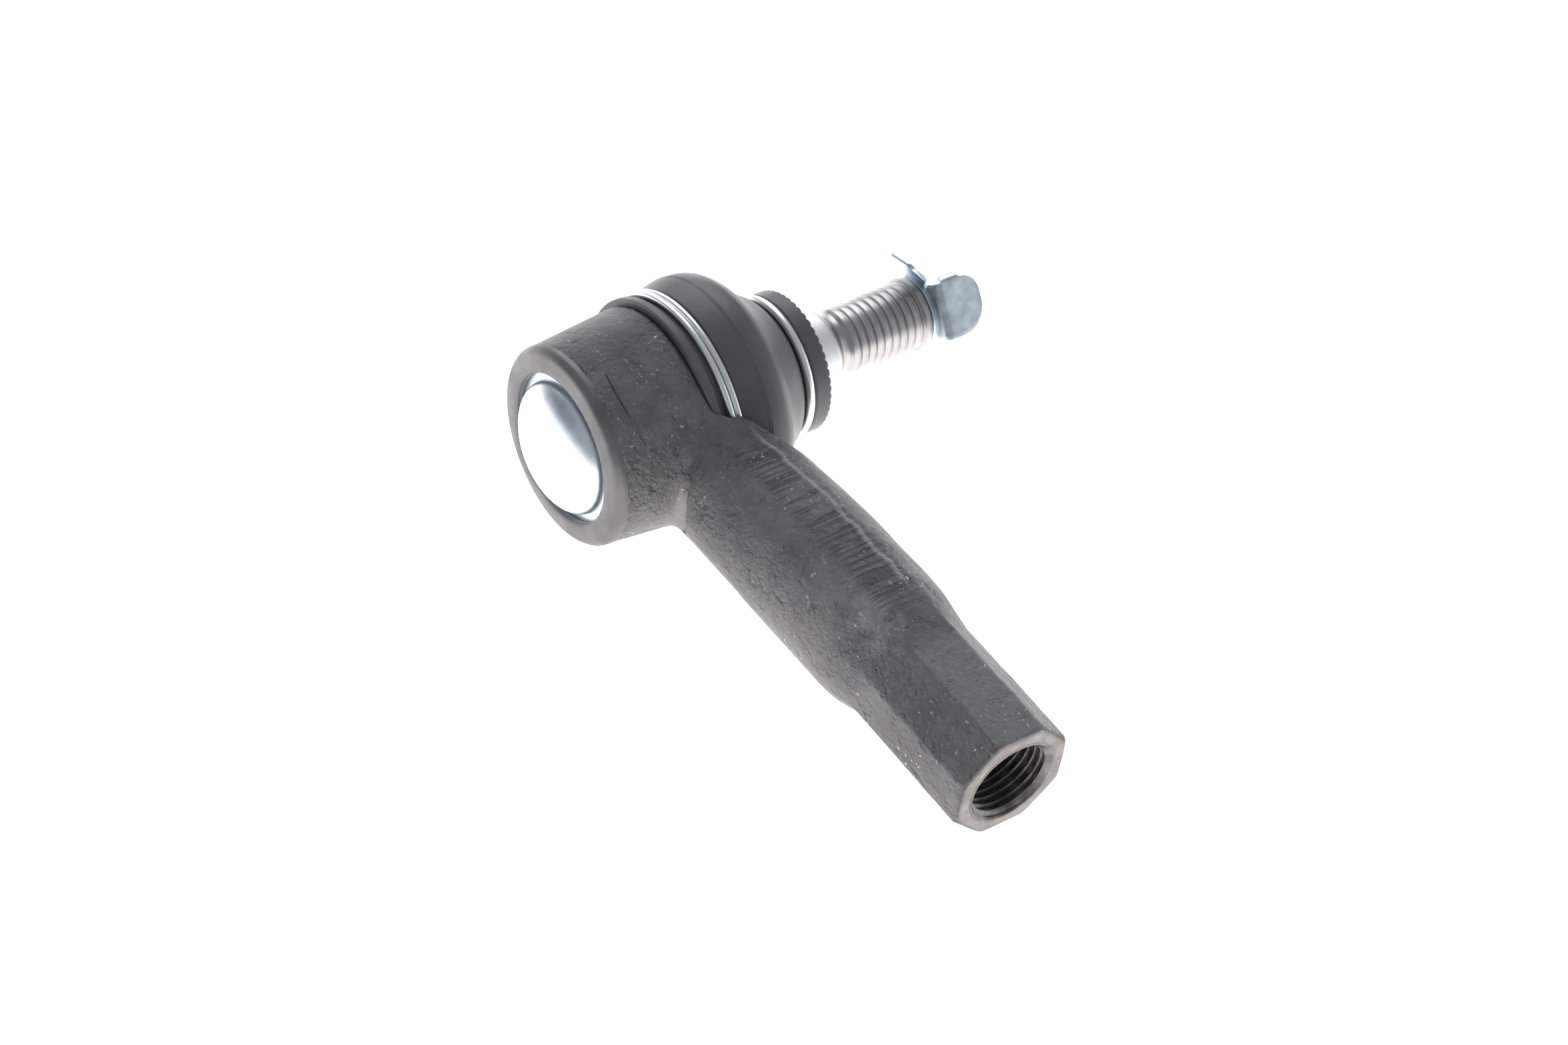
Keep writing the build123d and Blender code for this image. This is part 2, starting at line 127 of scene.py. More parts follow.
def lathe(name, outline, segments=128, closed=True, shape=None, sharp=SHARP):
    """Turns an outline (radius, height) about the Y axis. shape(r, h, angle) may move the points."""
    o = np.array(outline, float)
    n = len(o)
    t = np.arange(segments) * 2 * np.pi / segments
    r = np.repeat(o[:, 0][None], segments, 0)
    h = np.repeat(o[:, 1][None], segments, 0)
    if shape:
        r, h = shape(r, h, t[:, None])
    v = np.stack([r * np.cos(t)[:, None], h, r * np.sin(t)[:, None]], -1).reshape(-1, 3)
    faces = []
    for s in range(segments):
        u = (s + 1) % segments
        for i in range(n if closed else n - 1):
            j = (i + 1) % n
            faces.append((s * n + i, s * n + j, u * n + j, u * n + i))
    obj = make_mesh(name, v, faces, sharp)
    tidy_mesh(obj, sharp)
    return obj


def tidy_mesh(obj, sharp=SHARP):
    """Welds doubled points, turns the faces outwards and marks the sharp edges."""
    bm = bmesh.new()
    bm.from_mesh(obj.data)
    bmesh.ops.remove_doubles(bm, verts=bm.verts, dist=1e-7)
    bmesh.ops.dissolve_degenerate(bm, edges=bm.edges, dist=1e-8)
    bmesh.ops.recalc_face_normals(bm, faces=bm.faces)
    bm.to_mesh(obj.data)
    bm.free()
    obj.data.shade_smooth()
    obj.data.set_sharp_from_angle(angle=math.radians(sharp))
    obj.data.update()


def tube(name, path, radius, closed=False, sides=20):
    """A round wire about the Y axis along path, with domed ends when it is open."""
    p = np.array(path, float)
    n = len(p)
    if closed:
        tangent = np.roll(p, -1, 0) - np.roll(p, 1, 0)
    else:
        tangent = np.gradient(p, axis=0)
    tangent /= np.linalg.norm(tangent, axis=1)[:, None]
    out = p * np.array([1, 0, 1])
    out /= np.linalg.norm(out, axis=1)[:, None]
    out -= (out * tangent).sum(1)[:, None] * tangent
    out /= np.linalg.norm(out, axis=1)[:, None]
    side = np.cross(tangent, out)
    rings = []
    order = [(i, 1.0, 0.0) for i in range(n)]
    if not closed:
        caps = [(math.cos(a), math.sin(a)) for a in np.radians([75, 50, 25])]
        order = [(0, c, -s) for c, s in caps] + order + [(n - 1, c, s) for c, s in reversed(caps)]
    t = np.arange(sides) * 2 * np.pi / sides
    for i, scale, along in order:
        c = p[i] + tangent[i] * along * radius
        rings.append(c + radius * scale * (np.cos(t)[:, None] * out[i] + np.sin(t)[:, None] * side[i]))
    m = len(rings)
    v = np.concatenate(rings)
    faces = []
    for k in range(m if closed else m - 1):
        q = (k + 1) % m
        for s in range(sides):
            u = (s + 1) % sides
            faces.append((k * sides + s, k * sides + u, q * sides + u, q * sides + s))
    if not closed:
        faces.append(tuple(reversed(range(sides))))
        faces.append(tuple((m - 1) * sides + s for s in range(sides)))
    obj = make_mesh(name, v, faces, 60)
    tidy_mesh(obj, 60)
    return obj


# Forging: a distance field meshed as a net and drawn onto its surface -----------------------------------------------

RNG = np.random.RandomState(7)
LATTICE = RNG.rand(32, 32, 32).astype(np.float32) * 2 - 1


def noise(p, size):
    """Smooth value noise between -1 and 1 with cells of the given size."""
    q = p / size + 100.0
    i = np.floor(q).astype(int)
    f = q - i
    f = f * f * (3 - 2 * f)
    total = 0
    for a in (0, 1):
        for b in (0, 1):
            for c in (0, 1):
                w = (f[:, 0] if a else 1 - f[:, 0]) * (f[:, 1] if b else 1 - f[:, 1])
                w = w * (f[:, 2] if c else 1 - f[:, 2])
                total = total + w * LATTICE[(i[:, 0] + a) % 32, (i[:, 1] + b) % 32, (i[:, 2] + c) % 32]
    return total


def smooth_min(a, b, k):
    h = np.clip(0.5 + 0.5 * (b - a) / k, 0, 1)
    return b + (a - b) * h - k * h * (1 - h)


def smooth_max(a, b, k):
    return -smooth_min(-a, -b, k)


def outline_distance(r, y, points):
    """Signed distance to a closed outline, negative inside."""
    best = np.full(r.shape, 1e9)
    inside = np.zeros(r.shape, bool)
    for (x1, y1), (x2, y2) in zip(points, points[1:] + points[:1]):
        ex, ey = x2 - x1, y2 - y1
        t = np.clip(((r - x1) * ex + (y - y1) * ey) / (ex * ex + ey * ey), 0, 1)
        best = np.minimum(best, (r - x1 - t * ex) ** 2 + (y - y1 - t * ey) ** 2)
        if ey:
            inside ^= ((y1 <= y) != (y2 <= y)) & (r < x1 + (y - y1) * ex / ey)
    return np.sqrt(best) * np.where(inside, -1, 1)


HOUSING = [
    (0, -18.0), (17.6, -18.0), (18.45, -17.0), (18.52, NOSE_END_Y + 0.05), (HOUSING_REAR_R, SHOULDER_Y - 1.0),
    (HOUSING_REAR_R - 0.4, SHOULDER_Y), (18.2, SHOULDER_Y), (18.2, 6.6), (18.8, 7.2), (18.8, 8.0), (18.2, 8.6),
    (0, 8.6),
]
SEAT_SPACE = [(0, -20), (15.6, -20), (15.6, -16.5), (14.9, -16.5), (14.9, 3.8), (10.9, 7.3), (10.9, 10), (0, 10)]
BOOT_SPACE = [
    (18.2, SHOULDER_Y), (21.35, SHOULDER_Y), (21.75, SHOULDER_Y + 0.5), (21.75, 5.0), (23.4, 7.6), (25.2, 12.0),
    (26.5, 30), (0, 30), (0, 8.6), (18.2, 8.6), (18.8, 8.0), (18.8, 7.2), (18.2, 6.6),
]
ROD_X = [0, 16, 27, 42, 56, 64.5, 68.5, 72.5, 76]
ROD_CENTRE = [0.6, 2.2, 3.5, 4.4, 4.75, 4.85, 5.0, 5.2, 5.2]
ROD_RADIUS = [10.6, 11.6, 12.4, 12.95, 13.08, 13.0, 12.3, 10.7, 9.5]
LAND_TOP = [10.1, 11.2, 12.0, 12.5, 12.65, 12.5, 11.9, 11.2, 11.2]
LEAN_ROOM = 2.4
BORE = [(8.4, 101.5), (8.4, 60.4), (0, 56.4), (0, 101.5)]


def curve(x, xs, ys):
    """A smooth curve through section values, by averaging straight interpolation over a short window."""
    return sum(np.interp(x + d, xs, ys) for d in (-2.0, -1.0, 0.0, 1.0, 2.0)) / 5


def forging_shape(p):
    x, y, z = p[:, 0], p[:, 1], p[:, 2]
    r = np.sqrt(x * x + z * z)
    housing = outline_distance(r, y, HOUSING)
    # Rod of round section with a trimmed flash land above and below
    cy = curve(x, ROD_X, ROD_CENTRE)
    rod = np.hypot(y - cy, z) - curve(x, ROD_X, ROD_RADIUS)
    rod = smooth_max(rod, np.abs(z) - curve(x, ROD_X, LAND_TOP), 0.35)
    rod = np.maximum(rod, np.maximum(-x - 2, x - 76))
    # Octagonal wrench end
    a, b = y - ROD_Y, z
    flats = np.full(x.shape, -1e9)
    for k in range(8):
        t = k * math.pi / 4
        flats = smooth_max(flats, a * math.cos(t) + b * math.sin(t) - 11.0, 0.4)
    wrench = smooth_max(flats, x - ROD_END_X, 1.2)
    wrench = smooth_max(wrench, np.hypot(a, b) - 11.3 - (ROD_END_X - x) * 0.8, 0.5)
    wrench = np.maximum(wrench, 58 - x)
    rod = smooth_min(rod, wrench, 1.3)
    # Shallow pocket in the rod's front, beside the housing
    pocket = np.maximum(np.hypot(x - POCKET_X, z - POCKET_Z) - POCKET_R, y - POCKET_FLOOR_Y)
    rod = smooth_max(rod, -pocket, 0.3 + 2.6 * np.clip((z - 3.5) / 3.5, 0, 1))
    body = smooth_min(housing, rod, 3.4 + 7.0 * np.clip((y + 5) / 6, 0, 1) * np.clip((np.abs(z) - 2) / 6, 0, 1))
    # The rod leaves more room where the boot leans over it
    lean = LEAN_ROOM * np.clip((13 - np.abs(z)) / 4, 0, 1)
    lean = lean * np.clip((y - 4) / 2.2, 0, 1) * np.clip((r - 20) / 2.5, 0, 1)
    body = smooth_max(body, -outline_distance(r - lean, y, BOOT_SPACE), 0.5)
    body = np.maximum(body, -outline_distance(r, y, SEAT_SPACE))
    bore = outline_distance(np.hypot(y - ROD_Y, z), x, BORE)
    return np.maximum(body, -bore)


def net(shape, low, high, step, block=4):
    """Meshes the surface shape == 0 as a net of quads."""
    low = np.array(low, float)
    count = np.ceil((np.array(high) - low) / (step * block)).astype(int)
    big = step * block
    axes = [low[a] + (np.arange(count[a]) + 0.5) * big for a in range(3)]
    coarse_points = np.stack(np.meshgrid(*axes, indexing="ij"), -1).reshape(-1, 3)
    coarse = shape(coarse_points).reshape(count)
    field = np.repeat(np.repeat(np.repeat(coarse, block, 0), block, 1), block, 2).astype(np.float32)
    near = np.argwhere(np.abs(coarse) < big * 1.15)
    sub = np.stack(np.meshgrid(*[np.arange(block)] * 3, indexing="ij"), -1).reshape(-1, 3)
    cells = (near[:, None] * block + sub[None]).reshape(-1, 3)
    field[tuple(cells.T)] = shape(low + (cells + 0.5) * step)
    inside = field < 0
    nx, ny, nz = inside.shape
    some = np.zeros((nx - 1, ny - 1, nz - 1), bool)
    every = np.ones_like(some)
    for a in (0, 1):
        for b in (0, 1):
            for c in (0, 1):
                part = inside[a:nx - 1 + a, b:ny - 1 + b, c:nz - 1 + c]
                some |= part
                every &= part
    active = some & ~every
    index = np.full(active.shape, -1)
    cell = np.argwhere(active)
    index[active] = np.arange(len(cell))
    total = np.zeros((len(cell), 3))
    hits = np.zeros(len(cell))
    for axis in range(3):
        others = [d for d in range(3) if d != axis]
        for m in (0, 1):
            for n in (0, 1):
                start = np.zeros(3, int)
                start[others[0]], start[others[1]] = m, n
                end = start.copy()
                end[axis] = 1
                fa = field[tuple((cell + start).T)]
                fb = field[tuple((cell + end).T)]
                cross = (fa < 0) != (fb < 0)
                t = fa / np.where(cross, fa - fb, 1)
                total[cross] += (start + (end - start) * t[:, None])[cross]
                hits += cross
    verts = low + (cell + total / hits[:, None] + 0.5) * step
    faces = []
    for axis in range(3):
        u, w = [d for d in range(3) if d != axis]
        first = np.moveaxis(inside, axis, 0)
        change = first[:-1] != first[1:]
        spots = np.argwhere(change)
        spot = np.zeros_like(spots)
        spot[:, axis], spot[:, u], spot[:, w] = spots.T
        ok = (spot[:, u] > 0) & (spot[:, w] > 0)
        ok &= (spot[:, u] < inside.shape[u] - 1) & (spot[:, w] < inside.shape[w] - 1)
        spot = spot[ok]
        quad = []
        for du, dw in ((-1, -1), (0, -1), (0, 0), (-1, 0)):
            q = spot.copy()
            q[:, u] += du
            q[:, w] += dw
            quad.append(index[tuple(q.T)])
        quad = np.stack(quad, 1)
        flip = inside[tuple(spot.T)] ^ (axis == 1)
        quad[~flip] = quad[~flip][:, ::-1]
        faces.append(quad)
    return verts, np.concatenate(faces)


def gradient(shape, p, d=0.02):
    return np.stack([shape(p + d * e) - shape(p - d * e) for e in np.eye(3)], 1) / (2 * d)


def settle(shape, verts, faces, rounds=3):
    """Evens out a net while keeping its points on the surface."""
    for step in range(rounds + 1):
        for _ in range(2):
            g = gradient(shape, verts)
            verts = verts - (shape(verts) / np.maximum((g * g).sum(1), 0.2))[:, None] * g
        if step == rounds:
            break
        near = np.zeros_like(verts)
        count = np.zeros(len(verts))
        for k in range(4):
            a, b = faces[:, k], faces[:, (k + 1) % 4]
            np.add.at(near, a, verts[b])
            np.add.at(near, b, verts[a])
            np.add.at(count, a, 1)
            np.add.at(count, b, 1)
        unit = g / np.maximum(np.linalg.norm(g, axis=1), 1e-6)[:, None]
        move = near / count[:, None] - verts
        move -= (move * unit).sum(1)[:, None] * unit
        verts = verts + 0.5 * move
    return verts, unit


def forging():
    verts, faces = net(forging_shape, (-21.5, -20.5, -21.0), (102.0, 19.5, 21.0), GRID_STEP)
    verts, normal = settle(forging_shape, verts, faces)
    x, y, z = verts.T
    # Scale pits and hammer marks of the forging, left off the machined faces
    machined = (x > ROD_END_X - 0.15) | (np.hypot(y - ROD_Y, z) < 8.7) & (x > 55) | (np.hypot(x, z) < 17.5)
    rough = np.clip((np.hypot(x, z) - 20.2) / 3, 0, 1) * ~machined
    lump = 0.08 * noise(verts, 9.0) + 0.06 * noise(verts, 3.7) + 0.035 * noise(verts + 31, 1.5)
    land = np.exp(-((np.abs(z) - curve(x, ROD_X, LAND_TOP)) / 0.3) ** 2)
    land = land * np.clip((x - 19) / 4, 0, 1) * np.clip((69 - x) / 3, 0, 1)
    stretched = verts * np.array([1, 0.04, 0.04])
    tears = -0.09 * np.clip(noise(stretched + 11, 0.8), 0, 1)
    # Wavy ridge along the trimmed land's far edge
    angle = np.degrees(np.arctan2(np.abs(z), y - curve(x, ROD_X, ROD_CENTRE)))
    wander = noise(verts * np.array([1, 0, 0]), 3.1) + 0.5 * noise(verts * np.array([1, 0, 0]) + 5, 1.1)
    ridge = np.exp(-((angle - 76.5 - 1.9 * wander) / 1.9) ** 2)
    ridge = ridge * np.clip((x - 20) / 5, 0, 1) * np.clip((66 - x) / 4, 0, 1)
    push = rough * (lump * (1 - land) + land * tears + ridge * (0.16 + 0.08 * wander))
    verts = verts + normal * push[:, None]
    obj = make_mesh("forging", verts, faces.tolist(), 30)
    in_pocket = np.clip((POCKET_R + 0.2 - np.hypot(x - POCKET_X, z - POCKET_Z)) / 0.8, 0, 1) * (y < -4)
    in_pocket = in_pocket * np.clip((5 - z) / 5, 0, 1) * np.clip((np.hypot(x, z) - 18.5) / 2, 0, 1)
    # Masks for the material: the land, the ridge's painted highlight, and the pocket floor's painted reflection
    for name, values in (("land", land), ("ridge", ridge), ("pocket", in_pocket)):
        obj.data.attributes.new(name, "FLOAT", "POINT").data.foreach_set("value", values.astype(np.float32))
    return obj


def nose():
    """The turned front of the housing, with its lip rolled over the cover plate."""
    outline = corner([
        (15.4, -18.0), (13.9, -18.02, 0.25), (13.95, -19.2, 0.45), (14.6, FRONT_Y, 0.5), (15.6, FRONT_Y, 3.0),
        (17.7, -19.15, 1.6), (18.5, -18.0, 1.2), (HOUSING_FRONT_R + 0.06, NOSE_END_Y, 0.06),
        (HOUSING_FRONT_R - 0.6, NOSE_END_Y + 0.02), (17.4, -17.6), (15.4, -17.6),
    ], steps=8)
    return lathe("turned_nose", outline, 192)


def thread():
    """The socket's thread, with its mouth chamfer and drill point."""
    sides, pitch = 96, 1.5
    xs = np.concatenate([np.arange(60.6, ROD_END_X, pitch / 14), [ROD_END_X + 0.02]])
    t = np.arange(sides) * 2 * np.pi / sides
    phase = (xs[None, :] / pitch - t[:, None] / (2 * np.pi)) % 1.0
    height = np.clip((np.abs(phase - 0.5) - 0.11) / 0.33, 0, 1)
    r = 7.19 + 0.81 * height
    r = np.maximum(r, 8.25 - (ROD_END_X - xs)[None, :])
    verts, n = [], len(xs) + 3
    for s in range(sides):
        c, d = math.sin(t[s]), math.cos(t[s])
        ring = [(56.7, 0.02), (60.55, 7.1)] + list(zip(xs, r[s])) + [(ROD_END_X + 0.02, 8.75)]
        verts += [(a, ROD_Y + q * d, q * c) for a, q in ring]
    faces = [
        (s * n + i, s * n + i + 1, ((s + 1) % sides) * n + i + 1, ((s + 1) % sides) * n + i)
        for s in range(sides) for i in range(n - 1)
    ]
    obj = make_mesh("rod_thread", verts, faces, 40)
    bm = bmesh.new()
    bm.from_mesh(obj.data)
    bmesh.ops.recalc_face_normals(bm, faces=bm.faces)
    probe = max(bm.faces, key=lambda f: f.calc_center_median().x)
    if probe.normal.x < 0:
        bmesh.ops.reverse_faces(bm, faces=bm.faces)
    bm.to_mesh(obj.data)
    bm.free()
    obj.data.shade_smooth()
    obj.data.set_sharp_from_angle(angle=math.radians(40))
    return obj


# Ball joint ---------------------------------------------------------------------------------------------------------


DOME_R, DOME_EDGE_Y, DOME_RISE = 12.4, -18.15, 5.4


def cover():
    """The pressed cover plate: steep sides and a gently domed crown."""
    shares = np.concatenate([np.linspace(0, 0.9, 26), 1 - np.geomspace(0.09, 0.001, 18), [1.0]])
    outline = [(DOME_R * a, DOME_EDGE_Y - DOME_RISE * math.sqrt(1 - a**2.3)) for a in shares]
    outline += corner([
        (DOME_R, DOME_EDGE_Y), (DOME_R, -18.0, 0.12), (15.5, -18.0), (15.5, -16.6), (0, -16.6),
    ], closed=False)[1:]
    return lathe("cover_cap", outline, 176, closed=False)


BALL_R, NECK_R = 12.5, 5.9
SHANK_START, GROOVE_PITCH, GROOVES = 40.1, 1.715, 9


def stud():
    """The ball stud: ball, neck, collar, waist, grooved shank, end land and spigot."""
    angles = np.linspace(-1.13, math.acos(NECK_R / BALL_R), 40)
    ball = [(BALL_R * math.cos(a), BALL_R * math.sin(a)) for a in angles]
    outline = [(0, ball[0][1])] + ball + [(NECK_R, 16.5)]
    outline += corner([
        (NECK_R, 17.5), (NECK_R, 18.5, 1.5), (7.4, 22.3, 0.8), (7.4, 36.3, 1.6), (5.85, 38.0, 1.4), (5.8, 39.3, 0.7),
        (6.3, 40.1, 0.15), (6.31, 40.5),
    ], closed=False)
    for i in range(GROOVES):
        y = SHANK_START + i * GROOVE_PITCH + GROOVE_PITCH - 0.8
        crest = min(6.6, 6.32 + 0.3 * i / GROOVES)
        floor = crest - 0.42
        outline += corner([
            (crest, y - 0.3), (crest, y, 0.12), (floor, y + 0.2, 0.22), (floor, y + 0.6, 0.22), (crest, y + 0.8, 0.12),
            (crest, y + 0.95),
        ], closed=False, steps=4)
    outline += corner([
        (6.6, 55.55), (6.62, 55.7, 0.1), (7.0, 55.95, 0.2), (7.0, 57.28, 0.35), (4.2, 57.3), (4.2, 60.0, 0.5),
        (0, 60.0),
    ], closed=False)
    return lathe("stud", outline, 128, closed=False, sharp=38)


# Boot ---------------------------------------------------------------------------------------------------------------

BOOT_JOIN_Y = 14.2
BOOT_LOW = [
    (18.27, 0.47, 0.1), (21.15, 0.48, 0.35), (21.15, 2.15, 0.3), (20.2, 2.25, 0.2), (20.2, 6.25, 0.25),
    (20.9, 6.3, 0.4),
]
BULGE = [(21.05, 6.6), (21.45, 8.2), (21.86, 10.2), (21.95, 11.6), (21.85, 13.0), (21.6, BOOT_JOIN_Y)]
CONE = [(21.6, BOOT_JOIN_Y), (21.2, 15.2), (20.1, 16.7), (18.4, 18.2), (16.4, 20.2), (14.7, 22.6), (13.4, 23.9)]
CONE_INSIDE = [(11.2, 22.6), (13.6, 19.9), (16.9, 17.0), (18.9, 15.2), (19.4, BOOT_JOIN_Y)]
BULGE_INSIDE = [(19.4, BOOT_JOIN_Y), (19.9, 12.6), (20.0, 11.0), (19.6, 8.8), (19.1, 7.6)]


def seam(r, h, t):
    """A fine raised line where the two halves of the mould met."""
    outside = r > 21.2
    line = np.exp(-((h - 10.8) / 0.11) ** 2) - 0.8 * np.exp(-((h - 11.05) / 0.12) ** 2)
    return r + 0.10 * line * outside, h


def scallops(r, h, t):
    """Small moulded notches around the small end's outer corner."""
    edge = np.exp(-((r - 13.3) / 0.5) ** 2 - ((h - 30.0) / 0.45) ** 2)
    wave = 0.5 + 0.5 * np.cos(t * 52 + 0.6 * np.sin(3 * t))
    notch = edge * wave**3
    return r - 0.14 * notch, h - 0.26 * notch


def dense(points, step=0.45):
    """Adds points along an outline so that none are further apart than the step."""
    out = []
    for a, b in zip(points, points[1:]):
        n = max(1, int(np.ceil(np.hypot(b[0] - a[0], b[1] - a[1]) / step)))
        out += [(a[0] + (b[0] - a[0]) * k / n, a[1] + (b[1] - a[1]) * k / n) for k in range(n)]
    return out + [points[-1]]


def boot():
    outside = corner(BOOT_LOW, closed=False) + catmull(BULGE, 14)
    inside = catmull(BULGE_INSIDE, 5) + [(18.26, 6.1), (18.26, 0.47)]
    wide = lathe("boot_wide_end", dense(outside, 0.3) + dense(inside, 0.8), 180, shape=seam, sharp=40)
    outside = catmull(CONE, 8) + corner([
        (12.95, 24.2, 0.25), (12.1, 24.4, 0.2), (12.1, 26.35, 0.2), (13.35, 26.5, 0.45), (13.45, 29.95, 0.5),
        (9.0, 30.0, 0.2), (7.8, 30.0, 0.2), (7.8, 29.5),
    ], closed=False)
    inside = [(9.5, 29.5), (9.5, 23.6)] + catmull(CONE_INSIDE, 5)
    small = lathe("boot_small_end", dense(outside, 0.3) + dense(inside, 0.8), 416, shape=scallops, sharp=40)
    return wide, small


# Wires --------------------------------------------------------------------------------------------------------------


WIRE_R, WIRE_START_Y, WIRE_PITCH, WIRE_THICK = 20.87, 2.95, 1.34, 1.24
STUD_WIRE_R, STUD_WIRE_Y, STUD_WIRE_THICK = 12.97, 25.4, 1.7


def wires():
    t = np.linspace(0, 4 * np.pi + 0.25, 400)
    rise = WIRE_START_Y + WIRE_PITCH * t / (2 * np.pi)
    path = np.stack([WIRE_R * np.cos(t), rise, -WIRE_R * np.sin(t)], 1)
    big = tube("housing_wire", path, WIRE_THICK / 2)
    s = np.linspace(0, 2 * np.pi, 220, endpoint=False)
    path = np.stack([STUD_WIRE_R * np.cos(s), np.full(s.shape, STUD_WIRE_Y), STUD_WIRE_R * np.sin(s)], 1)
    small = tube("stud_wire", path, STUD_WIRE_THICK / 2, closed=True)
    return big, small


# Clip ---------------------------------------------------------------------------------------------------------------

EAR_ANGLE = math.radians(37.5)
TONGUE_ANGLE = math.radians(105)
CUP_TOP = 59.1
EAR_CORNER = 3.4
SHEET = 0.85


def strip(name, path, half, side, rows=13):
    """A bent strip of sheet: path of points, half width at each, and the direction across."""
    path, side = np.array(path, float), np.array(side, float)
    verts = []
    for p, w in zip(path, half):
        low, high = w if isinstance(w, tuple) else (w, w)
        verts += [p + side * q for q in np.linspace(-low, high, rows)]
    faces = [
        (i * rows + j, i * rows + j + 1, (i + 1) * rows + j + 1, (i + 1) * rows + j)
        for i in range(len(path) - 1) for j in range(rows - 1)
    ]
    obj = make_mesh(name, verts, faces, 50)
    m = obj.modifiers.new("thickness", "SOLIDIFY")
    m.thickness = SHEET * MM
    m.offset = 0
    b = obj.modifiers.new("edges", "BEVEL")
    b.width = 0.16 * MM
    b.segments = 2
    b.limit_method = "ANGLE"
    b.angle_limit = math.radians(50)
    return obj


def clip():
    cup = lathe("clip_cup", corner([
        (4.25, 57.35, 0.1), (6.2, 57.35, 0.3), (6.9, 57.6, 0.4), (6.9, CUP_TOP, 0.45), (4.25, CUP_TOP, 0.1),
    ]), 96)
    # The strips lie a little lower than the cup's top, so that no two faces share a plane
    mid_y = CUP_TOP - SHEET / 2 - 0.06
    out = np.array([math.cos(EAR_ANGLE), 0, math.sin(EAR_ANGLE)])
    side = np.array([-math.sin(EAR_ANGLE), 0, math.cos(EAR_ANGLE)])
    up = np.array([0, 1, 0])
    reach, bend, length, width = 9.2 - SHEET / 2, 0.9, 8.9, 10.7 / 2
    path, half = [], []
    for q in np.linspace(4.6, reach - bend, 8):
        path.append(out * q + up * mid_y)
        half.append(min(width, 3.2 + (q - 4.6) * 1.1))
    for a in np.linspace(0, math.pi / 2, 8)[1:]:
        path.append(out * (reach - bend + bend * math.sin(a)) + up * (mid_y + bend * (1 - math.cos(a))))
        half.append(width)
    top = CUP_TOP - SHEET + length
    straight = np.linspace(mid_y + bend, top - width, 8)[1:-1]
    rounded = top - width * (1 - np.sin(np.linspace(0, math.pi / 2, 24)))
    for y in np.concatenate([straight, rounded]):
        path.append(out * reach + up * y)
        low = width * math.sqrt(max(0.002, 1 - max(0, (y - top + width) / width) ** 2))
        past = max(0, (y - top + EAR_CORNER) / EAR_CORNER)
        half.append((low, width - EAR_CORNER * (1 - math.sqrt(max(0, 1 - past**2)))))
    ear = strip("clip_ear", path, half, side)
    # Flange folded back from the ear's upper edge
    turn = math.radians(60)
    away = side * math.cos(turn) - out * math.sin(turn)
    base = out * reach + side * (width - 0.35)
    cross = [base]
    for k in range(1, 7):
        a = turn * k / 6
        cross.append(base + 0.7 * (side * math.sin(a) - out * (1 - math.cos(a))))
    cross.append(cross[-1] + away * 1.0)
    y0, y1 = mid_y + 0.5, top - EAR_CORNER + 0.2
    flange = strip("clip_flange", [c + up * (y0 + y1) / 2 for c in cross],
                   [(y1 - y0) / 2 - 0.12 * i for i in range(len(cross))], up, rows=9)
    # Tongue bent back towards the boot, its tip curled out
    out = np.array([math.cos(TONGUE_ANGLE), 0, math.sin(TONGUE_ANGLE)])
    side = np.array([-math.sin(TONGUE_ANGLE), 0, math.cos(TONGUE_ANGLE)])
    path = [out * q + up * mid_y for q in np.linspace(4.6, 7.4, 5)]
    p, a = path[-1].copy(), 0.0
    for k in range(22):
        a = min(0.71, a + 0.16) if k < 18 else a - 0.05
        p = p + 0.27 * (out * math.cos(a) - up * math.sin(a))
        path.append(p.copy())
    half = [3.0] * 5 + [3.4] * 18 + [3.35, 3.2, 2.95, 2.5]
    tongue = strip("clip_tongue", path, half, side)
    return [cup, ear, flange, tongue]


# Materials ----------------------------------------------------------------------------------------------------------


